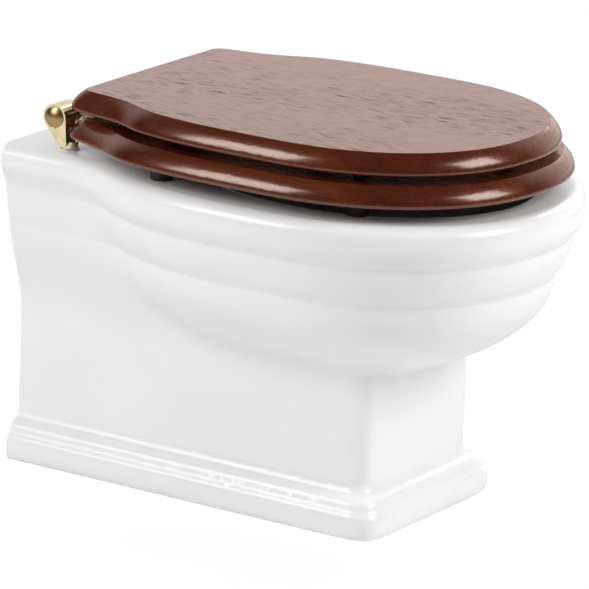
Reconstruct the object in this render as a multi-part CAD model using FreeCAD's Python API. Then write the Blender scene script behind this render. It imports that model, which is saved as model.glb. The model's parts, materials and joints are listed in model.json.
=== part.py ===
"""Wall hung toilet: a ceramic pan on a false plinth, with a wooden seat and lid on a brass bar hinge.

Lengths are millimetres. Heights are measured from the underside of the plinth while the pieces are
made. Each finished piece is then lowered so that the origin lies on the wall, midway between the two
wall fixings. +Z is up, the wall is the plane Y = 0 and the front of the pan faces -Y.
"""
import math
import os

import FreeCAD
import Part

V = FreeCAD.Vector
AXIS_X = V(1, 0, 0)
AXIS_Y = V(0, 1, 0)
AXIS_Z = V(0, 0, 1)

# Pan, outside
pan_depth = 523.0
pan_width = 376.0
deck_height = 313.0
deck_width = 258.0
bowl_centre = 320.0
bowl_back_reach = 242.0
bowl_back_fullness = 3.0
bowl_front_fullness = 2.15
bowl_blend = 18.0
bowl_foot_blend = 7.0
rim_height = 42.0
frieze_height = 38.0
bowl_height = 112.0
pedestal_width_wall = 176.0
pedestal_width_front = 190.0
pedestal_depth = 390.0
pedestal_squareness = 10.0
plinth_height = 48.0
plinth_step = 19.0

# Moulding bands of the pan, from the top down. Each row holds the share of the band's height, the inset
# of the bowl's oval from the rim's widest line, and the share of the way from the deck's side to the
# pedestal's side that the flank has gone. The bowl's own rows follow two smooth curves.
rim_rows = [(0, 14, 0.34), (0.02, 9.4, 0.23), (0.065, 5.6, 0.137), (0.14, 2.4, 0.059), (0.24, 0.6, 0.015),
            (0.37, 0, 0), (0.55, 0.5, 0.034), (0.73, 2.9, 0.127), (0.85, 6, 0.187), (0.925, 8.6, 0.219),
            (0.97, 9.9, 0.235), (1, 10.4, 0.244)]
frieze_rows = [(0, 10.4, 0.244), (0.15, 10.6, 0.268), (0.35, 11.8, 0.298), (0.575, 14.6, 0.337),
               (0.77, 18.4, 0.375), (0.89, 21.8, 0.402), (0.96, 23.4, 0.418), (1, 24, 0.427)]
bowl_last_inset = 190.0
bowl_inset_power = 2.24
bowl_flank_share = 0.86
bowl_flank_power = 1.49
BOWL_ROWS = 24

# Mouldings of the plinth, from the top down: share of the plinth's height, share of its step out
plinth_rows = [(1, 0), (0.92, 0.045), (0.84, 0.14), (0.795, 0.26), (0.765, 0.42), (0.72, 0.57), (0.65, 0.67),
               (0.58, 0.725), (0.535, 0.79), (0.5, 0.88), (0.43, 0.96), (0.33, 1), (0.2, 1.01),
               (0.085, 0.955), (0.025, 0.86), (0, 0.72)]

# Pan, inside
skirt_wall = 9.0
skirt_corner = 8.0
front_wall = 11.0
back_wall = 18.0
back_opening_height = 198.0
cavity_height = 253.0
deck_wall = 18.0
deck_pocket_width = 150.0
deck_pocket_depth = 122.0
basin_wall = 11.0
rim_opening_width = 268.0
rim_opening_length = 310.0
rim_opening_centre = 322.0
ring_fullness = 2.1
rim_lip_height = 32.0
rim_lip_round = 9.0
rim_lip_rows = [(0, 0), (0.38, 0.08), (0.7, 0.29), (0.92, 0.61), (1, 1), (1.02, 1.2)]
rim_channel_reach = 24.0
rim_channel_height = 20.0
# Basin rows: share of its depth, then shares of the way from the trap's bore to the rim channel,
# across, at the front and at the back
basin_rows = [(0, 1, 1, 1), (0.19, 0.933, 0.954, 0.9), (0.378, 0.8, 0.857, 0.68),
              (0.56, 0.633, 0.747, 0.41), (0.696, 0.417, 0.6, 0.22), (0.797, 0.283, 0.442, 0.12),
              (0.9, 0.133, 0.258, 0.045), (1, 0, 0, 0)]

# Trap and connections to the wall
fixing_height = 230.0
fixing_spacing = 180.0
fixing_hole = 20.0
outlet_below_fixings = 100.0
inlet_above_fixings = 35.0
inlet_socket = 55.0
inlet_socket_depth = 40.0
inlet_wall = 9.0
flush_way = 40.0
trap_bore = 72.0
trap_wall = 10.0
trap_leg_spacing = 100.0
trap_leg_back = 148.0
trap_floor = 14.0
trap_weir = 136.0
trap_mouth_height = 113.0
trap_mouth_step = 2.5
trap_crown_radius = 48.0
trap_tail_radius = 52.0
spigot_diameter = 102.0
spigot_length = 25.0
spigot_bore = 86.0

# Seat and lid
seat_rest_gap = 14.5
seat_thickness = 20.0
lid_gap = 6.5
lid_thickness = 21.0
wood_face_width = 312.0
wood_face_front = 486.0
wood_face_back = 78.0
wood_shoulder_width = 231.0
wood_shoulder_flare = 0.14
wood_shoulder_front = 20.0
wood_shoulder_fade = 0.15
wood_shoulder_blend = 36.0
wood_back_reach = 215.0
wood_back_fullness = 3.5
wood_corner_squareness = 42.0
wood_edge_reach = 11.0
seat_overhang = 13.0
seat_shoulder_overhang = 3.0
# Edge of the lid and of the seat: share of the thickness below the top, share of the edge's reach
wood_edge = [(0, 0), (0.07, 0.15), (0.16, 0.33), (0.28, 0.54), (0.42, 0.74), (0.56, 0.88), (0.7, 0.97),
             (0.8, 1), (0.89, 0.95), (0.955, 0.8), (0.99, 0.58), (1, 0.42)]
seat_hole_width = 222.0
seat_hole_length = 280.0
seat_hole_centre = 292.0
seat_hole_round = 13.0
seat_hole_edge = [(0, 1), (0.06, 0.62), (0.19, 0.28), (0.38, 0.06), (0.55, 0), (0.77, 0.05), (0.91, 0.2),
                  (1, 0.46)]

# Hinge
hinge_post_spacing = 208.0
hinge_axis_from_wall = 50.0
hinge_axis_above_deck = 31.3
bar_diameter = 10.0
bar_play = 0.05
knuckle_play = 0.08
post_head_diameter = 24.6
post_head_length = 26.0
post_neck_length = 16.0
post_face_out = 12.5
post_neck_width = 9.0
post_foot_diameter = 17.0
post_foot_height = 7.0
post_foot_forward = 9.4
foot_washer_thickness = 1.5
foot_washer_diameter = 19.0
end_cap_diameter = 19.6
end_cap_recess = 1.2
end_cap_recess_diameter = 21.0
end_cap_rim = 1.8
end_cap_dome = 3.2
end_cap_spigot = 4.0
grub_screw_diameter = 4.0
grub_screw_length = 6.0
knuckle_diameter = 18.0
knuckle_width = 12.0
knuckle_gap = 1.0
leaf_width = 24.0
leaf_length = 43.0
leaf_back_setback = 1.0
leaf_corner = 6.0
seat_leaf_thickness = 4.0
lid_leaf_thickness = 4.5
leaf_screw_setback = 11.0
leaf_screw_pitch = 22.0
stud_diameter = 8.0
stud_in_post = 6.0
stud_in_hole = 42.0
stud_play = 0.02
hinge_hole = 16.0
hinge_hole_depth = 46.0
plug_length = 24.0
plug_play = 0.02
cone_nut_height = 10.0
cone_nut_small_end = 11.0

# Buffers and screws
seat_buffer_places = [(140, 186), (130, 390)]
seat_buffer_diameter = 24.0
lid_buffer_places = [(136, 200), (130, 392)]
lid_buffer_diameter = 17.0
buffer_taper = 2.0
rest_play = 0.3
screw_diameter = 3.8
screw_head_diameter = 7.6
screw_head_height = 2.2
leaf_screw_length = 13.0
buffer_screw_grip = 3.0
buffer_screw_depth = 11.0
screw_play = 0.02

# Wall fixings and inlet seal
sleeve_bore = 13.0
sleeve_flange_diameter = 23.4
sleeve_flange_thickness = 3.0
sleeve_flange_room = 1.4
sleeve_play = 0.02
inlet_seal_bore = 45.0
inlet_seal_recess = 4.0
inlet_seal_play = 0.02

# Sizes that follow from the ones above
rim_half = pan_width / 2
rim_front = pan_depth - bowl_centre
flank_run = (deck_width - pedestal_width_wall) / 2
pedestal_flare = (pedestal_width_front - pedestal_width_wall) / 2 / pedestal_depth
bowl_bottom = deck_height - rim_height - frieze_height - bowl_height
channel_drop = rim_lip_height + rim_channel_height
seat_bottom = deck_height + seat_rest_gap
seat_top = seat_bottom + seat_thickness
lid_bottom = seat_top + lid_gap
axis_height = deck_height + hinge_axis_above_deck
outlet_height = fixing_height - outlet_below_fixings
inlet_height = fixing_height + inlet_above_fixings
trap_radius = trap_bore / 2
trap_leg_front = trap_leg_back + trap_leg_spacing
trap_bend_height = trap_floor + trap_radius + trap_leg_spacing / 2
bar_radius = bar_diameter / 2
post_outer = hinge_post_spacing / 2 + post_face_out
cap_seat = post_outer - end_cap_recess
post_inner = post_outer - post_head_length
post_foot_y = -hinge_axis_from_wall - post_foot_forward
foot_bottom = deck_height + foot_washer_thickness
foot_top = foot_bottom + post_foot_height
wood_outer_back = wood_face_back - wood_edge_reach
OVERRUN = 1.0
# Shares of the turn from the front to the back at which an outline is plotted, closer at its corners
OUTLINE_STEPS = [i / 100 for i in (*range(0, 24, 4), *range(24, 44, 2), *range(44, 84, 4),
                                   *range(84, 101, 2))]


# Outlines
def bowl_row(share):
    """Row of the bowl's band: it starts where the frieze ends and closes in on the pedestal."""
    _, first_inset, first_flank = frieze_rows[-1]
    inset = first_inset + (bowl_last_inset - first_inset) * share ** bowl_inset_power
    turn = min(share / bowl_flank_share, 1) * math.pi / 2
    return share, inset, first_flank + (1 - first_flank) * math.sin(turn) ** bowl_flank_power


bowl_rows = [bowl_row(i / BOWL_ROWS) for i in range(BOWL_ROWS + 1)]


def oval_radius(turn, half, front, back, front_fullness, back_fullness):
    """Radius of an egg-shaped oval at a turn measured from its front end."""
    reach, power = (front, front_fullness) if math.cos(turn) > 0 else (back, back_fullness)
    across = (abs(math.sin(turn)) / half) ** power
    along = (abs(math.cos(turn)) / reach) ** power
    return (across + along) ** (-1 / power)


def box_radius(turn, half, flare, front, back, squareness):
    """Radius of a box with flared sides; half is at the centre, front and back are reaches from it."""
    share = (max(math.sin(turn) - flare * math.cos(turn), 1e-9) / half) ** squareness
    if math.cos(turn) > 0:
        share += (math.cos(turn) / front) ** squareness
    elif back:
        share += (-math.cos(turn) / back) ** squareness
    return share ** (-1 / squareness)


def blended(radius_a, radius_b, blend):
    """Larger of two radii, with a softer change from one to the other the smaller the blend."""
    return (radius_a ** blend + radius_b ** blend) ** (1 / blend)


def outline_wire(radius_at, last_turn, centre, height, straight_back=False):
    """Closed wire at one height: a curve round the front and, if asked, a straight edge at the back."""
    side = []
    for share in OUTLINE_STEPS:
        radius = radius_at(last_turn * share)
        x = radius * math.sin(last_turn * share)
        side.append((x, -centre - radius * math.cos(last_turn * share)))
    right = [V(x, y, height) for x, y in reversed(side)]
    left = [V(-x, y, height) for x, y in side[1:]]
    if not straight_back:
        right[0] = left[-1] = V(0, side[-1][1], height)
    curve = Part.BSplineCurve()
    shares = [-share for share in reversed(OUTLINE_STEPS)] + OUTLINE_STEPS[1:]
    curve.interpolate(Points=right + left, Parameters=shares)
    edges = [curve.toShape()]
    if straight_back:
        edges.append(Part.makeLine(left[-1], right[0]))
    return Part.Wire(edges)


def pan_section(height, oval_inset, half_wall, depth, blend=bowl_blend):
    """Pan outline at one height, run just past the wall: the bowl's oval blended into a box."""
    half = half_wall + pedestal_flare * bowl_centre
    last_turn = math.pi - math.atan2(half_wall - pedestal_flare * OVERRUN, bowl_centre + OVERRUN)
    front_corner = depth - bowl_centre
    has_oval = oval_inset < min(rim_half, rim_front)

    def radius_at(turn):
        box = box_radius(turn, half, pedestal_flare, front_corner, None, pedestal_squareness)
        if turn == last_turn or not has_oval:
            return box
        oval = oval_radius(turn, rim_half - oval_inset, rim_front - oval_inset, bowl_back_reach - oval_inset,
                           bowl_front_fullness, bowl_back_fullness)
        return blended(box, oval, blend)

    return outline_wire(radius_at, last_turn, bowl_centre, height, straight_back=True)


def band_sections(rows, top, band_height, last_blend=bowl_blend):
    """Outlines of one moulding band that starts at a height and goes down, with its blend growing softer."""
    return [pan_section(top - share * band_height, inset, deck_width / 2 - flank * flank_run, pedestal_depth,
                        bowl_blend + share * (last_blend - bowl_blend))
            for share, inset, flank in rows]


def plinth_section(height, step):
    """Outline of the pedestal or plinth, a step out from the pedestal's face."""
    return pan_section(height, math.inf, pedestal_width_wall / 2 + step, pedestal_depth + step)


def ring_wire(half, front, back, height):
    """Plain oval wire; front and back are distances from the wall."""
    centre = (front + back) / 2
    reach = (front - back) / 2
    return outline_wire(lambda turn: oval_radius(turn, half, reach, reach, ring_fullness, ring_fullness),
                        math.pi, centre, height)


def wood_section(height, grow, grow_shoulder, grow_back):
    """Outline of the lid or seat at one height: straight back, shoulders, then a long oval."""
    shoulder = wood_shoulder_width / 2 + wood_shoulder_flare * (bowl_centre - wood_face_back)
    back = bowl_centre - wood_face_back + grow_back

    def radius_at(turn):
        box = box_radius(turn, shoulder + grow_shoulder, wood_shoulder_flare, wood_shoulder_front, back,
                         wood_corner_squareness)
        box *= 1 - wood_shoulder_fade * math.sin(turn) ** 4
        oval = oval_radius(turn, wood_face_width / 2 + grow, wood_face_front - bowl_centre + grow,
                           wood_back_reach + grow, bowl_front_fullness, wood_back_fullness)
        return blended(box, oval, wood_shoulder_blend)

    return outline_wire(radius_at, math.pi, bowl_centre, height)


# Shape helpers
def loft(wires, ruled=False):
    return Part.makeLoft(wires, True, ruled)


def cylinder(diameter, length, start, direction):
    return Part.makeCylinder(diameter / 2, length, start, direction)


def box(x0, x1, y0, y1, z0, z1):
    return Part.makeBox(x1 - x0, y1 - y0, z1 - z0, V(x0, y0, z0))


def mirrored(shape):
    return shape.mirror(V(0, 0, 0), AXIS_X)


def both_sides(shape):
    return [shape, mirrored(shape)]


# Ceramic pan
def pan_outside():
    """Outer form of the ceramic, band by band from the rim down to the plinth, cut flat at the wall."""
    frieze_top = deck_height - rim_height
    bands = [loft(band_sections(rim_rows, deck_height, rim_height)),
             loft(band_sections(frieze_rows, frieze_top, frieze_height)),
             loft(band_sections(bowl_rows, frieze_top - frieze_height, bowl_height, bowl_foot_blend)),
             loft([plinth_section(bowl_bottom, 0), plinth_section(plinth_height, 0)]),
             loft([plinth_section(h * plinth_height, s * plinth_step) for h, s in plinth_rows])]
    behind_wall = box(-pan_width, pan_width, 0, 2 * OVERRUN, -OVERRUN, deck_height + OVERRUN)
    return bands[0].multiFuse(bands[1:]).cut(behind_wall)


def rim_opening(grow, height):
    """Outline of the opening in the rim, grown by an amount."""
    half = rim_opening_width / 2 + grow
    reach = rim_opening_length / 2 + grow
    return ring_wire(half, rim_opening_centre + reach, rim_opening_centre - reach, height)


def basin_sections(grow):
    """Outlines of the basin from the rim channel down to the trap's mouth."""
    channel = rim_opening_length / 2 + rim_channel_reach
    mouth = trap_radius + trap_mouth_step
    top = deck_height - channel_drop
    depth = top - trap_mouth_height
    wires = []
    for share, across, front, back in basin_rows:
        half = mouth + across * (rim_opening_width / 2 + rim_channel_reach - mouth)
        near = trap_leg_front + mouth
        far = trap_leg_front - mouth
        near += front * (rim_opening_centre + channel - near)
        far += back * (rim_opening_centre - channel - far)
        wires.append(ring_wire(half + grow, near + grow, far - grow, top - share * depth - 0.7 * grow))
    return wires


def bowl_hollow():
    """Opening with a rounded lip, the rim channel under it and the basin."""
    lip_top = deck_height - rim_lip_round
    channel_top = deck_height - rim_lip_height
    edge = loft([rim_opening(out * rim_lip_round, lip_top + up * rim_lip_round) for up, out in rim_lip_rows])
    lip = loft([rim_opening(0, z) for z in (lip_top, channel_top)])
    channel_bottom = channel_top - rim_channel_height
    channel = loft([rim_opening(rim_channel_reach, z) for z in (channel_top, channel_bottom)])
    return [edge, lip, channel, loft(basin_sections(0))]


def trap_path():
    """Centre line of the trap: down from the basin, round the seal, over the weir and out to the wall."""
    bend = trap_leg_spacing / 2
    crown_z = trap_weir + trap_radius - trap_crown_radius
    crown_y = trap_crown_radius - trap_leg_back
    fall = trap_weir + trap_radius - outlet_height
    turn = math.acos(1 - fall / (trap_crown_radius + trap_tail_radius))
    tail_y = crown_y + (trap_crown_radius + trap_tail_radius) * math.sin(turn)
    tail_z = outlet_height + trap_tail_radius

    def on_crown(angle):
        return V(0, crown_y, crown_z) + V(0, math.sin(angle), math.cos(angle)) * trap_crown_radius

    def on_tail(angle):
        return V(0, tail_y, tail_z) - V(0, math.sin(angle), math.cos(angle)) * trap_tail_radius

    start = V(0, -trap_leg_front, trap_mouth_height + trap_radius)
    leg_foot = V(0, -trap_leg_front, trap_bend_height)
    riser_foot = V(0, -trap_leg_back, trap_bend_height)
    riser_top = on_crown(-math.pi / 2)
    return Part.Wire([
        Part.makeLine(start, leg_foot),
        Part.Arc(leg_foot, V(0, bend - trap_leg_front, trap_bend_height - bend), riser_foot).toShape(),
        Part.makeLine(riser_foot, riser_top),
        Part.Arc(riser_top, on_crown((turn - math.pi / 2) / 2), on_crown(turn)).toShape(),
        Part.Arc(on_tail(turn), on_tail(turn / 2), on_tail(0)).toShape(),
        Part.makeLine(on_tail(0), V(0, 0, outlet_height)),
    ])


def trap_tube(diameter):
    path = trap_path()
    start = path.Edges[0].valueAt(path.Edges[0].FirstParameter)
    ring = Part.Wire(Part.Circle(start, AXIS_Z, diameter / 2).toShape())
    return path.makePipeShell([ring], True, True)


def flank_half(height):
    """Half-width of the pan's side at the wall, at a height between the pedestal and the rim."""
    bowl_top = bowl_bottom + bowl_height
    rows = [(bowl_top - share * bowl_height, flank) for share, _, flank in bowl_rows]
    rows += [(bowl_top + (1 - share) * frieze_height, flank) for share, _, flank in frieze_rows]
    rows.sort()
    below = max((r for r in rows if r[0] <= height), default=rows[0])
    above = min((r for r in rows if r[0] > height), default=rows[-1])
    run = above[0] - below[0]
    flank = below[1] + (above[1] - below[1]) * ((height - below[0]) / run if run else 0)
    return deck_width / 2 - flank * flank_run


def skirt_cavity():
    """Hollow behind and under the basin: open below, and open to the wall under the fixings."""
    depth = pedestal_depth - front_wall
    plinth_half = pedestal_width_wall / 2 - skirt_wall
    recess = plinth_step / 2

    def inner(height, half, back):
        half_front = half + pedestal_flare * depth
        right = [(half + pedestal_flare * -back, back), (half_front, skirt_corner - depth),
                 (half_front - skirt_corner, -depth)]
        points = [V(x, y, height) for x, y in right] + [V(-x, y, height) for x, y in reversed(right)]
        return Part.makePolygon(points + points[:1])

    low = [(-OVERRUN, plinth_half + recess), (plinth_height / 3, plinth_half + recess),
           (plinth_height, plinth_half), (bowl_bottom, plinth_half)]
    steps = 4
    rise = (back_opening_height - bowl_bottom) / steps
    for i in range(1, steps + 1):
        low.append((bowl_bottom + i * rise, flank_half(bowl_bottom + i * rise) - skirt_wall))
    lower = loft([inner(z, half, OVERRUN) for z, half in low], ruled=True)
    rise = (cavity_height - back_opening_height) / steps
    heights = [back_opening_height + i * rise for i in range(steps + 1)]
    upper = loft([inner(z, flank_half(z) - skirt_wall, -back_wall) for z in heights], ruled=True)
    pocket = box(-deck_pocket_width / 2, deck_pocket_width / 2, -deck_pocket_depth, -back_wall,
                 cavity_height, deck_height - deck_wall)
    return lower.multiFuse([upper, pocket])


def make_pan():
    flush_length = rim_opening_centre - rim_opening_length / 2 - rim_channel_reach / 2
    inlet = V(0, OVERRUN, inlet_height)
    outlet = V(0, OVERRUN, outlet_height)
    web_bottom = trap_bend_height - trap_wall
    kept = [loft(basin_sections(basin_wall)),
            trap_tube(trap_bore + 2 * trap_wall),
            box(-trap_radius, trap_radius, -trap_leg_front, -trap_leg_back, web_bottom, trap_weir),
            cylinder(spigot_diameter, spigot_length, V(0, -spigot_length, outlet_height), AXIS_Y),
            cylinder(inlet_socket + 2 * inlet_wall, flush_length, V(0, -flush_length, inlet_height), AXIS_Y)]
    cuts = bowl_hollow()
    cuts += [skirt_cavity().cut(kept), trap_tube(trap_bore),
             cylinder(spigot_bore, spigot_length + OVERRUN, outlet, -AXIS_Y),
             cylinder(inlet_socket, inlet_socket_depth + OVERRUN, inlet, -AXIS_Y),
             cylinder(flush_way, flush_length + OVERRUN, inlet, -AXIS_Y)]
    for x in (-fixing_spacing / 2, fixing_spacing / 2):
        cuts.append(cylinder(fixing_hole, back_wall + 2 * OVERRUN, V(x, OVERRUN, fixing_height), -AXIS_Y))
    for x in (-hinge_post_spacing / 2, hinge_post_spacing / 2):
        mouth = V(x, post_foot_y, deck_height + OVERRUN)
        cuts.append(cylinder(hinge_hole, hinge_hole_depth + OVERRUN, mouth, -AXIS_Z))
    pan = pan_outside()
    for cut in cuts:
        pan = pan.cut(cut)
    return pan


# Wall fixings
def make_inlet_seal():
    length = inlet_socket_depth - inlet_seal_recess
    start = V(0, -inlet_seal_recess, inlet_height)
    body = cylinder(inlet_socket - 2 * inlet_seal_play, length, start, -AXIS_Y)
    return body.cut(cylinder(inlet_seal_bore, length, start, -AXIS_Y))


def make_fixing_sleeve():
    """Left sleeve: lines the hole in the back wall, its flange inside and clear of the cavity's sides."""
    start = V(-fixing_spacing / 2, 0, fixing_height)
    body = cylinder(fixing_hole - 2 * sleeve_play, back_wall, start, -AXIS_Y)
    flange = cylinder(sleeve_flange_diameter, sleeve_flange_thickness, start - AXIS_Y * back_wall, -AXIS_Y)
    flank = flank_half(fixing_height) - skirt_wall - sleeve_flange_room
    flange_end = -back_wall - sleeve_flange_thickness
    ceiling = cavity_height - sleeve_flange_room
    room = box(-flank, flank, flange_end, -back_wall, 0, ceiling)
    body = body.fuse(flange.common(room))
    return body.cut(cylinder(sleeve_bore, back_wall + sleeve_flange_thickness, start, -AXIS_Y))


# Screws
def screw(place, direction, length):
    """Countersunk wood screw with a cross recess; its head's flat face is at the place given."""
    head = Part.makeCone(screw_head_diameter / 2, screw_diameter / 2, screw_head_height, place, direction)
    body = head.fuse(cylinder(screw_diameter, length, place, direction))
    side = AXIS_X
    across = direction.cross(side)
    slot_half = screw_head_diameter * 0.3
    slot_width = screw_diameter / 5
    slots = []
    for along, cross in ((side, across), (across, side)):
        corners = [place + along * (slot_half * a) + cross * (slot_width / 2 * b)
                   for a, b in ((-1, -1), (1, -1), (1, 1), (-1, 1), (-1, -1))]
        slots.append(Part.Face(Part.makePolygon(corners)).extrude(direction * (screw_head_height / 2)))
    return body.cut(slots[0].fuse(slots[1]))


def screw_hole(place, direction, length):
    """Clearance for such a screw."""
    grow = 2 * screw_play
    head = Part.makeCone(screw_head_diameter / 2 + screw_play, screw_diameter / 2 + screw_play,
                         screw_head_height, place, direction)
    return head.fuse(cylinder(screw_diameter + grow, length + screw_play, place, direction))


# Hinge
def on_axis(x, forward=0.0, up=0.0):
    return V(x, -hinge_axis_from_wall - forward, axis_height + up)


def teardrop(radius_top, place_bottom, radius_bottom, x):
    """Face of a circle on the hinge axis joined by its tangents to a smaller circle below."""
    top = on_axis(x)
    line = place_bottom - top
    lean = math.acos((radius_top - radius_bottom) / line.Length)
    heading = math.atan2(line.z, line.y)

    def point(centre, radius, angle):
        return centre + V(0, math.cos(angle), math.sin(angle)) * radius

    a, b = point(top, radius_top, heading - lean), point(place_bottom, radius_bottom, heading - lean)
    c, d = point(place_bottom, radius_bottom, heading + lean), point(top, radius_top, heading + lean)
    edges = [Part.makeLine(a, b),
             Part.Arc(b, point(place_bottom, radius_bottom, heading), c).toShape(),
             Part.makeLine(c, d),
             Part.Arc(d, point(top, radius_top, heading + math.pi), a).toShape()]
    return Part.Face(Part.Wire(edges))


def make_post():
    """Left post: a round head for the bar, a tapering neck and a round foot."""
    head = cylinder(post_head_diameter, post_head_length, on_axis(-post_outer), AXIS_X)
    neck_end = V(-post_outer, post_foot_y, foot_top)
    neck = teardrop(post_head_diameter / 2, neck_end, post_neck_width / 2, -post_outer)
    neck = neck.extrude(AXIS_X * post_neck_length)
    foot_place = V(-hinge_post_spacing / 2, post_foot_y, foot_bottom)
    foot = cylinder(post_foot_diameter, post_foot_height, foot_place, AXIS_Z)
    post = head.multiFuse([neck, foot])
    bore = cylinder(bar_diameter + 2 * bar_play, post_head_length + 2, on_axis(-post_outer - 1), AXIS_X)
    recess = cylinder(end_cap_recess_diameter, end_cap_recess, on_axis(-post_outer), AXIS_X)
    stud_hole = cylinder(stud_diameter + 2 * stud_play, stud_in_post + stud_play, foot_place, AXIS_Z)
    return post.cut([bore, recess, stud_hole, grub_screw(2 * screw_play, post_head_diameter)])


def grub_screw(grow, length):
    """Left grub screw, which locks the bar in its post from behind; grow and length also make its hole."""
    start = on_axis(-(post_outer + post_inner) / 2, -bar_radius - bar_play)
    return cylinder(grub_screw_diameter + grow, length, start, AXIS_Y)


def make_bar():
    half = cap_seat - end_cap_spigot - OVERRUN
    return cylinder(bar_diameter, 2 * half, on_axis(-half), AXIS_X)


def make_end_cap():
    """Left end cap: a shallow dome in the post's recess, on a short spigot in the bar's bore."""
    rim = cylinder(end_cap_diameter, end_cap_rim, on_axis(-cap_seat), -AXIS_X)
    radius = end_cap_diameter / 2
    ball = (radius ** 2 + end_cap_dome ** 2) / (2 * end_cap_dome)
    face = -cap_seat - end_cap_rim
    dome = Part.makeSphere(ball, on_axis(face + ball - end_cap_dome))
    dome = dome.common(cylinder(2 * ball, 2 * end_cap_dome, on_axis(face), -AXIS_X))
    spigot = cylinder(bar_diameter - 2 * bar_play, end_cap_spigot, on_axis(-cap_seat), AXIS_X)
    return rim.multiFuse([dome, spigot])


def make_foot_washer():
    place = V(-hinge_post_spacing / 2, post_foot_y, deck_height)
    washer = cylinder(foot_washer_diameter, foot_washer_thickness, place, AXIS_Z)
    return washer.cut(cylinder(stud_diameter + 2 * stud_play, foot_washer_thickness, place, AXIS_Z))


def make_stud():
    place = V(-hinge_post_spacing / 2, post_foot_y, deck_height - stud_in_hole)
    return cylinder(stud_diameter, stud_in_hole + foot_washer_thickness + stud_in_post, place, AXIS_Z)


def cone_nut(grow):
    """Left cone nut on the lower end of the stud; grown a little it is also the plug's tapered seat."""
    place = V(-hinge_post_spacing / 2, post_foot_y, deck_height - stud_in_hole)
    large = hinge_hole / 2 - plug_play - OVERRUN / 2
    return Part.makeCone(large + grow, cone_nut_small_end / 2 + grow, cone_nut_height, place, AXIS_Z)


def stud_bore():
    place = V(-hinge_post_spacing / 2, post_foot_y, deck_height - hinge_hole_depth)
    return cylinder(stud_diameter + 2 * stud_play, hinge_hole_depth, place, AXIS_Z)


def make_plug():
    """Left rubber plug: the cone nut drawn up into it swells it against the hole."""
    bottom = deck_height - stud_in_hole + cone_nut_height / 2
    place = V(-hinge_post_spacing / 2, post_foot_y, bottom)
    plug = cylinder(hinge_hole - 2 * plug_play, plug_length, place, AXIS_Z)
    return plug.cut(stud_bore()).cut(cone_nut(plug_play))


def leaf(outer, base, thickness, wide_towards):
    """Left hinge leaf: a knuckle on the bar, a strap and a wider plate with its underside at the base."""
    inner = outer + knuckle_width
    front = wood_outer_back + wood_edge_reach + leaf_length - leaf_back_setback
    plate_back = wood_outer_back + leaf_back_setback
    knuckle = cylinder(knuckle_diameter, knuckle_width, on_axis(outer), AXIS_X)
    strap = box(outer, inner, -plate_back - OVERRUN, -hinge_axis_from_wall, base, base + thickness)
    x0, x1 = (inner - leaf_width, inner) if wide_towards < 0 else (outer, outer + leaf_width)
    plate = box(x0, x1, -front, -plate_back, base, base + thickness)
    front_corners = [edge for edge in plate.Edges
                     if abs(edge.BoundBox.YMax + front) < 0.01 and edge.BoundBox.ZLength > thickness / 2]
    plate = plate.makeFillet(leaf_corner, front_corners)
    shape = knuckle.multiFuse([strap, plate])
    return shape.cut(cylinder(bar_diameter + 2 * knuckle_play, knuckle_width, on_axis(outer), AXIS_X))


seat_knuckle = -post_inner + knuckle_gap
lid_knuckle = seat_knuckle + knuckle_width + knuckle_gap


def leaf_screw_places(middle, height):
    first = wood_outer_back + leaf_back_setback + leaf_screw_setback
    return [V(middle, -first - i * leaf_screw_pitch, height) for i in range(2)]


def seat_leaf_screw_places():
    return leaf_screw_places(seat_knuckle + knuckle_width - leaf_width / 2, seat_top + seat_leaf_thickness)


def lid_leaf_screw_places():
    return leaf_screw_places(lid_knuckle + leaf_width / 2, lid_bottom - lid_leaf_thickness)


# Buffers
def buffer(place, diameter, height):
    """Rubber buffer under a wooden face, tapering down from the place given."""
    return Part.makeCone(diameter / 2, diameter / 2 - buffer_taper, height, place, -AXIS_Z)


def buffer_set(places, under, diameter, gap):
    """Buffers, their screws and the holes for these, on both sides."""
    height = gap - rest_play
    buffers, screws, holes = [], [], []
    for x, y in places:
        top = V(-x, -y, under)
        head = top - AXIS_Z * min(buffer_screw_grip, height)
        length = buffer_screw_depth + buffer_screw_grip
        hole = screw_hole(head, AXIS_Z, length)
        well = cylinder(screw_head_diameter + 2 * screw_play, height, head, -AXIS_Z)
        buffers += both_sides(buffer(top, diameter, height).cut(hole.fuse(well)))
        screws += both_sides(screw(head, AXIS_Z, length))
        holes += both_sides(hole)
    return buffers, screws, holes


# Seat and lid
def wood_blank(bottom, thickness, grow, grow_shoulder):
    wires = []
    for share, reach in wood_edge:
        edge = reach * wood_edge_reach
        wires.append(wood_section(bottom + thickness * (1 - share), grow + edge, grow_shoulder + edge, edge))
    return loft(wires)


def seat_hole():
    rows = [(-OVERRUN / seat_thickness, 1.25)] + seat_hole_edge + [(1 + OVERRUN / seat_thickness, 0.62)]
    wires = []
    for share, out in rows:
        grow = out * seat_hole_round
        reach = seat_hole_length / 2 + grow
        half = seat_hole_width / 2 + grow
        height = seat_top - share * seat_thickness
        wires.append(ring_wire(half, seat_hole_centre + reach, seat_hole_centre - reach, height))
    return loft(wires)


def make_seat(holes):
    seat = wood_blank(seat_bottom, seat_thickness, seat_overhang, seat_shoulder_overhang).cut(seat_hole())
    return seat.cut(holes)


def make_lid(holes):
    return wood_blank(lid_bottom, lid_thickness, 0, 0).cut(holes)


# Output
def save(name, shapes):
    """Write one node, lowered so that the origin is midway between the wall fixings."""
    shapes = shapes if isinstance(shapes, list) else [shapes]
    solids = [solid for shape in shapes for solid in shape.Solids]
    node = Part.makeCompound(solids) if len(solids) > 1 else solids[0]
    node.translate(V(0, 0, -fixing_height))
    node.exportStep(os.path.join("parts", name + ".step"))


def save_pair(name, left):
    save(name + "_left", left)
    save(name + "_right", mirrored(left))


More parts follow.
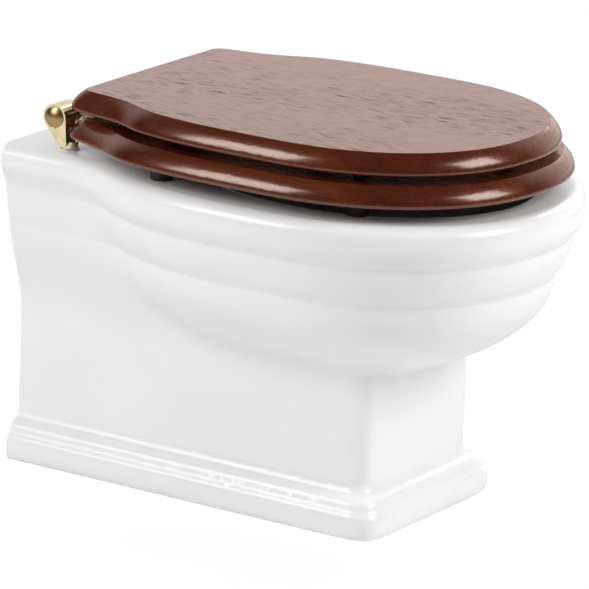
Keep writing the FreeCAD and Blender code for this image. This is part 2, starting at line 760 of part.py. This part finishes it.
def main():
    os.makedirs("parts", exist_ok=True)
    save("pan", make_pan())
    save("flush_inlet_seal", make_inlet_seal())
    save_pair("fixing_sleeve", make_fixing_sleeve())

    save("hinge_bar", make_bar())
    save_pair("hinge_post", make_post())
    save_pair("hinge_end_cap", make_end_cap())
    save_pair("hinge_foot_washer", make_foot_washer())
    save_pair("hinge_stud", make_stud())
    save_pair("expanding_plug", make_plug())
    save_pair("cone_nut", cone_nut(0).cut(stud_bore()))
    save("post_grub_screws", both_sides(grub_screw(0, grub_screw_length)))

    buffers, buffer_screws, buffer_holes = buffer_set(seat_buffer_places, seat_bottom, seat_buffer_diameter,
                                                      seat_rest_gap)
    places = seat_leaf_screw_places()
    leaf_holes = [screw_hole(place, -AXIS_Z, leaf_screw_length) for place in places]
    seat_leaf = leaf(seat_knuckle, seat_top, seat_leaf_thickness, -1)
    save("seat", make_seat(buffer_holes + [h for hole in leaf_holes for h in both_sides(hole)]))
    save_pair("seat_leaf", seat_leaf.cut(leaf_holes))
    save("seat_leaf_screws", [s for p in places for s in both_sides(screw(p, -AXIS_Z, leaf_screw_length))])
    save("seat_buffers", buffers)
    save("seat_buffer_screws", buffer_screws)

    buffers, buffer_screws, buffer_holes = buffer_set(lid_buffer_places, lid_bottom, lid_buffer_diameter,
                                                      lid_gap)
    places = lid_leaf_screw_places()
    leaf_holes = [screw_hole(place, AXIS_Z, leaf_screw_length) for place in places]
    lid_leaf = leaf(lid_knuckle, lid_bottom - lid_leaf_thickness, lid_leaf_thickness, 1)
    save("lid", make_lid(buffer_holes + [h for hole in leaf_holes for h in both_sides(hole)]))
    save_pair("lid_leaf", lid_leaf.cut(leaf_holes))
    save("lid_leaf_screws", [s for p in places for s in both_sides(screw(p, AXIS_Z, leaf_screw_length))])
    save("lid_buffers", buffers)
    save("lid_buffer_screws", buffer_screws)


main()
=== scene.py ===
"""Looks of the wall hung toilet: glazed ceramic, lacquered mahogany, brass, and a plain studio."""
import json
import math

import bpy
from mathutils import Matrix, Vector

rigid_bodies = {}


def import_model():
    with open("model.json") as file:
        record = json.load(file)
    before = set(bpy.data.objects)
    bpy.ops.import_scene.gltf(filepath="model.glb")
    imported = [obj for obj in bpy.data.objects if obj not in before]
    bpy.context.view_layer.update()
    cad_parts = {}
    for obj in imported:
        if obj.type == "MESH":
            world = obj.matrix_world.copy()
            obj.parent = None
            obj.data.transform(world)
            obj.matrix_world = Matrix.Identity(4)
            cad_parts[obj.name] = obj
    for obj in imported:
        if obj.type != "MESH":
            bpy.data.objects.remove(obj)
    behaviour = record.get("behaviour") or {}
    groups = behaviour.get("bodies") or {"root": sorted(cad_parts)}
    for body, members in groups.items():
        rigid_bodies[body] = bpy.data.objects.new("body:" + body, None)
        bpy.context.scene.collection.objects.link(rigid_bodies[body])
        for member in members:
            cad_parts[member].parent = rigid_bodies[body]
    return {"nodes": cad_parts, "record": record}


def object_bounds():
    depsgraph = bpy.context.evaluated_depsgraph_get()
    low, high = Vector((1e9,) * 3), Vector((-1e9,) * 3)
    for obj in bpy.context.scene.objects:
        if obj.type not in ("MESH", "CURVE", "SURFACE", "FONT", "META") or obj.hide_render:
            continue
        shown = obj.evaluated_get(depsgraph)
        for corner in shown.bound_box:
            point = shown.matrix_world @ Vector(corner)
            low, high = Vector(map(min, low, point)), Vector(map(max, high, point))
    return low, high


for left_over in list(bpy.data.objects):
    bpy.data.objects.remove(left_over)

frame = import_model()
cad_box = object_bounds()
nodes = frame["nodes"]


# Node helpers
def link(tree, value, socket):
    """Sets a socket to a number, a colour or another node's output."""
    if isinstance(value, bpy.types.NodeSocket):
        tree.links.new(value, socket)
    else:
        socket.default_value = value


def add(tree, kind, props=None, **inputs):
    """New shader node with its properties and named inputs."""
    node = tree.nodes.new("ShaderNode" + kind)
    for name, value in (props or {}).items():
        setattr(node, name, value)
    for name, value in inputs.items():
        link(tree, value, node.inputs[name.replace("_", " ")])
    return node


def math_node(tree, operation, *values):
    node = add(tree, "Math", {"operation": operation})
    for value, socket in zip(values, node.inputs):
        link(tree, value, socket)
    return node.outputs["Value"]


def ramp(tree, fac, stops):
    """Colour ramp from (position, colour) pairs; a number stands for a grey."""
    node = add(tree, "ValToRGB", Fac=fac)
    band = node.color_ramp
    while len(band.elements) < len(stops):
        band.elements.new(0.5)
    for element, (place, colour) in zip(band.elements, stops):
        element.position = place
        element.color = (*colour, 1) if isinstance(colour, tuple) else (colour, colour, colour, 1)
    return node.outputs["Color"]


def mix(tree, kind, fac, a, b):
    node = add(tree, "MixRGB", {"blend_type": kind}, Fac=fac)
    link(tree, a, node.inputs["Color1"])
    link(tree, b, node.inputs["Color2"])
    return node.outputs["Color"]


def noise(tree, scale, detail=4.0, roughness=0.55, distortion=0.0, offset=(0, 0, 0)):
    """Noise in object space, with its own scale along each axis, per metre."""
    coordinates = add(tree, "TexCoord").outputs["Object"]
    mapping = add(tree, "Mapping", Vector=coordinates, Scale=scale, Location=offset)
    texture = add(tree, "TexNoise", Vector=mapping.outputs["Vector"], Scale=1.0, Detail=detail,
                  Roughness=roughness, Distortion=distortion)
    return texture.outputs["Fac"]


def material(name):
    """New material with its shader and node tree."""
    made = bpy.data.materials.new(name)
    made.use_nodes = True
    tree = made.node_tree
    tree.nodes.clear()
    shader = add(tree, "BsdfPrincipled")
    output = add(tree, "OutputMaterial")
    tree.links.new(shader.outputs["BSDF"], output.inputs["Surface"])
    return made, tree, shader


def bump(tree, shader, height, strength, distance):
    node = add(tree, "Bump", Strength=strength, Distance=distance, Height=height)
    tree.links.new(node.outputs["Normal"], shader.inputs["Normal"])


# Materials
GLAZE_IOR = 1.46
WOOD_IOR = 1.48
PORE_COLOUR = (0.016, 0.004, 0.003, 1)
PORE_ROUGHENING = (0.25, 0.25, 0.25, 1)
WOOD_SPECULAR = (0.5, 0.5, 0.5, 1)
LACQUER_ROUGHNESS = 0.17
LACQUER_TINT = (1.0, 0.54, 0.37, 1)


def ceramic():
    """White glaze, a little uneven in tint, gloss and height."""
    made, tree, shader = material("glazed_ceramic")
    cast = noise(tree, (7, 7, 7), detail=2)
    tint = ramp(tree, cast, [(0.35, (0.86, 0.865, 0.865)), (0.7, (0.90, 0.90, 0.895))])
    link(tree, tint, shader.inputs["Base Color"])
    haze = noise(tree, (22, 22, 22), detail=3, offset=(3, 1, 2))
    link(tree, ramp(tree, haze, [(0.3, 0.20), (0.75, 0.27)]), shader.inputs["Roughness"])
    shader.inputs["IOR"].default_value = GLAZE_IOR
    waves = noise(tree, (45, 45, 45), detail=1, offset=(5, 5, 5))
    bump(tree, shader, waves, strength=0.10, distance=0.0006)
    return made


def mahogany():
    """Wood with its grain along Y under a tinted lacquer; the pores are open on the flat faces."""
    made, tree, shader = material("mahogany")
    figure = noise(tree, (26, 2.2, 26), detail=5, roughness=0.6, distortion=0.9)
    fibre = noise(tree, (480, 14, 480), detail=3, offset=(2, 7, 1))
    pores = noise(tree, (820, 42, 820), detail=2, offset=(9, 4, 3))
    patches = noise(tree, (9, 5, 9), detail=2, offset=(4, 4, 8))
    base = ramp(tree, figure, [(0.28, (0.056, 0.014, 0.006)), (0.5, (0.092, 0.028, 0.010)),
                               (0.72, (0.140, 0.052, 0.018))])
    base = mix(tree, "MULTIPLY", 0.55, base, ramp(tree, fibre, [(0.3, 0.55), (0.7, 1.0)]))

    pore_mask = ramp(tree, pores, [(0.575, 0.0), (0.63, 0.95)])
    pore_mask = mix(tree, "MULTIPLY", 1.0, pore_mask, ramp(tree, patches, [(0.40, 0.35), (0.60, 1.0)]))
    facing = add(tree, "SeparateXYZ", Vector=add(tree, "TexCoord").outputs["Normal"]).outputs["Z"]
    edge_fade = ramp(tree, math_node(tree, "ABSOLUTE", facing), [(0.85, 0.25), (0.99, 1.0)])
    pore_mask = mix(tree, "MULTIPLY", 1.0, pore_mask, edge_fade)
    closed = mix(tree, "SUBTRACT", 1.0, (1, 1, 1, 1), pore_mask)

    link(tree, mix(tree, "MIX", pore_mask, base, PORE_COLOUR), shader.inputs["Base Color"])
    gloss = mix(tree, "ADD", 1.0, ramp(tree, fibre, [(0.3, 0.24), (0.75, 0.34)]),
                mix(tree, "MULTIPLY", 1.0, pore_mask, PORE_ROUGHENING))
    link(tree, gloss, shader.inputs["Roughness"])
    shader.inputs["IOR"].default_value = WOOD_IOR
    specular = mix(tree, "MULTIPLY", 1.0, closed, WOOD_SPECULAR)
    link(tree, specular, shader.inputs["Specular IOR Level"])
    link(tree, closed, shader.inputs["Coat Weight"])
    shader.inputs["Coat Roughness"].default_value = LACQUER_ROUGHNESS
    shader.inputs["Coat Tint"].default_value = LACQUER_TINT
    relief = mix(tree, "SUBTRACT", 1.0, ramp(tree, fibre, [(0.0, 0.4), (1.0, 0.6)]), pore_mask)
    bump(tree, shader, relief, strength=0.25, distance=0.0003)
    return made


def metal(name, dark, light, rough, scale=(60, 900, 900)):
    """Polished metal with fine turning marks and slight tarnish."""
    made, tree, shader = material(name)
    tarnish = noise(tree, (70, 70, 70), detail=4, offset=(1, 6, 2))
    marks = noise(tree, scale, detail=2, offset=(8, 2, 5))
    link(tree, ramp(tree, tarnish, [(0.3, dark), (0.65, light)]), shader.inputs["Base Color"])
    link(tree, ramp(tree, marks, [(0.25, rough * 0.7), (0.8, rough * 1.4)]), shader.inputs["Roughness"])
    shader.inputs["Metallic"].default_value = 1.0
    bump(tree, shader, marks, strength=0.05, distance=0.0002)
    return made


def soft(name, dark, light, rough, grain):
    """Rubber or nylon: slightly mottled, with a fine moulded grain."""
    made, tree, shader = material(name)
    mottle = noise(tree, (90, 90, 90), detail=3)
    fine = noise(tree, (grain, grain, grain), detail=2, offset=(2, 3, 4))
    link(tree, ramp(tree, mottle, [(0.3, dark), (0.7, light)]), shader.inputs["Base Color"])
    link(tree, ramp(tree, fine, [(0.25, rough * 0.85), (0.75, rough * 1.15)]), shader.inputs["Roughness"])
    bump(tree, shader, fine, strength=0.2, distance=0.0002)
    return made


finishes = {
    "ceramic": ceramic(),
    "wood": mahogany(),
    "brass": metal("polished_brass", (0.62, 0.51, 0.29), (0.80, 0.70, 0.46), 0.16),
    "cap_brass": metal("antique_brass", (0.30, 0.21, 0.09), (0.46, 0.34, 0.16), 0.34, (900, 60, 60)),
    # Painted shade: the hinge leaves get a darker copy of the brass that stands in for the shade they sit
    # in between seat and lid
    "leaf_brass": metal("shade_darkened_brass", (0.36, 0.28, 0.15), (0.52, 0.42, 0.25), 0.30),
    "screw_brass": metal("screw_brass", (0.52, 0.38, 0.17), (0.70, 0.54, 0.28), 0.25),
    "steel": metal("plain_steel", (0.42, 0.42, 0.43), (0.60, 0.60, 0.61), 0.30),
    "rubber_brown": soft("brown_rubber", (0.020, 0.010, 0.008), (0.038, 0.020, 0.015), 0.5, 1400),
    "rubber_dark": soft("black_rubber", (0.018, 0.018, 0.018), (0.035, 0.035, 0.034), 0.6, 1800),
    "plastic": soft("white_nylon", (0.72, 0.72, 0.70), (0.82, 0.82, 0.80), 0.42, 1500),
}
for part in frame["record"]["subparts"]:
    slots = nodes[part["node"]].data.materials
    slots.clear()
    slots.append(finishes[part["material_slot"]])


# Studio
FLOOR_DROP = 0.09
FLOOR_REACH = 6.0
FLOOR_ROUGHNESS = 0.8
FLOOR_GLOW = 1.08
FLOOR_GLOW_SHARE = 0.85
BACKDROP_SIDE = (0.85, 0.53, 0.0)
LAMP_AIM = (0, -0.25, 0)


def pale_floor():
    """Floor below the hanging pan, nearly white to the camera so that only a faint shadow shows."""
    height = cad_box[0].z - FLOOR_DROP
    corners = [(x * FLOOR_REACH, y * FLOOR_REACH, height) for x, y in ((-1, -1), (1, -1), (1, 1), (-1, 1))]
    mesh = bpy.data.meshes.new("floor")
    mesh.from_pydata(corners, [], [(0, 1, 2, 3)])
    floor = bpy.data.objects.new("floor", mesh)
    bpy.context.collection.objects.link(floor)
    made, tree, shader = material("pale_floor")
    shade = ramp(tree, noise(tree, (3, 3, 3), detail=2), [(0.3, 0.86), (0.7, 0.88)])
    link(tree, shade, shader.inputs["Base Color"])
    shader.inputs["Roughness"].default_value = FLOOR_ROUGHNESS
    white = add(tree, "Emission", Color=(1, 1, 1, 1), Strength=FLOOR_GLOW)
    seen = add(tree, "LightPath").outputs["Is Camera Ray"]
    blend = add(tree, "MixShader", Fac=math_node(tree, "MULTIPLY", seen, FLOOR_GLOW_SHARE))
    tree.links.new(shader.outputs["BSDF"], blend.inputs[1])
    tree.links.new(white.outputs["Emission"], blend.inputs[2])
    tree.links.new(blend.outputs["Shader"], tree.nodes["Material Output"].inputs["Surface"])
    mesh.materials.append(made)


def studio_sky():
    """White to the camera, a soft fill for the rest, and a bright backdrop side for reflections."""
    world = bpy.data.worlds.new("studio")
    bpy.context.scene.world = world
    world.use_nodes = True
    tree = world.node_tree
    tree.nodes.clear()
    path = add(tree, "LightPath")
    seen = math_node(tree, "MAXIMUM", path.outputs["Is Camera Ray"], path.outputs["Is Transmission Ray"])
    white = add(tree, "Background", Color=(1, 1, 1, 1), Strength=1.0)
    direction = add(tree, "TexCoord").outputs["Generated"]
    behind = add(tree, "VectorMath", {"operation": "DOT_PRODUCT"})
    link(tree, direction, behind.inputs[0])
    link(tree, BACKDROP_SIDE, behind.inputs[1])
    fill = ramp(tree, add(tree, "SeparateXYZ", Vector=direction).outputs["Z"], [(0.0, 0.19), (1.0, 0.58)])
    reflected = ramp(tree, behind.outputs["Value"], [(0.35, 0.03), (0.70, 0.95)])
    shade = mix(tree, "MIX", path.outputs["Is Glossy Ray"], fill, reflected)
    sky = add(tree, "Background", Color=shade, Strength=1.0)
    blend = add(tree, "MixShader", Fac=seen)
    tree.links.new(sky.outputs["Background"], blend.inputs[1])
    tree.links.new(white.outputs["Background"], blend.inputs[2])
    output = add(tree, "OutputWorld")
    tree.links.new(blend.outputs["Shader"], output.inputs["Surface"])


def lamp(name, place, size, power):
    """Softbox of the given width and height, in metres and watts, aimed at the middle of the pan."""
    data = bpy.data.lights.new(name, "AREA")
    data.shape = "RECTANGLE"
    data.size, data.size_y = size
    data.energy = power
    lamp_object = bpy.data.objects.new(name, data)
    bpy.context.collection.objects.link(lamp_object)
    lamp_object.location = place
    lamp_object.rotation_euler = (Vector(LAMP_AIM) - Vector(place)).to_track_quat("-Z", "Y").to_euler()


pale_floor()
studio_sky()
lamp("left", (-1.89, 0.91, 1.40), (1.0, 1.3), 32)
lamp("front", (0.50, -2.39, 1.40), (1.2, 1.2), 36)
lamp("right", (2.3, -0.10, 1.20), (0.5, 1.0), 13)


# Camera at the photograph's place: turn, tilt, roll, distance and frame offset were solved from its edges
TURN, TILT, ROLL = 0.5531984, 0.2698478, 0.0421552
FOCAL_PIXELS, FRAME_PIXELS = 5814.272, 589
DISTANCE, SIDE, DOWN = 5.600, 0.216436, -0.134651
ORIGIN_ABOVE_PLINTH = 0.230
SENSOR_WIDTH = 36
CLIP_NEAR, CLIP_FAR = 0.1, 50

ahead = Vector((math.cos(TURN), math.sin(TURN), 0))
right = Vector((math.sin(TURN), -math.cos(TURN), 0))
up = Vector((0, 0, 1))
view = math.cos(TILT) * ahead - math.sin(TILT) * up
down = -math.sin(TILT) * ahead - math.cos(TILT) * up
camera_right = math.cos(ROLL) * right - math.sin(ROLL) * down
camera_down = math.sin(ROLL) * right + math.cos(ROLL) * down
place = -DISTANCE * view + SIDE * camera_right + DOWN * camera_down - ORIGIN_ABOVE_PLINTH * up
camera = bpy.data.objects.new("camera", bpy.data.cameras.new("camera"))
bpy.context.collection.objects.link(camera)
turned = Matrix((camera_right, -camera_down, -view)).transposed().to_4x4()
camera.matrix_world = Matrix.Translation(place) @ turned
camera.data.sensor_width = SENSOR_WIDTH
camera.data.lens = SENSOR_WIDTH * FOCAL_PIXELS / FRAME_PIXELS
camera.data.clip_start, camera.data.clip_end = CLIP_NEAR, CLIP_FAR
bpy.context.scene.camera = camera
bpy.context.scene.view_settings.view_transform = "Standard"
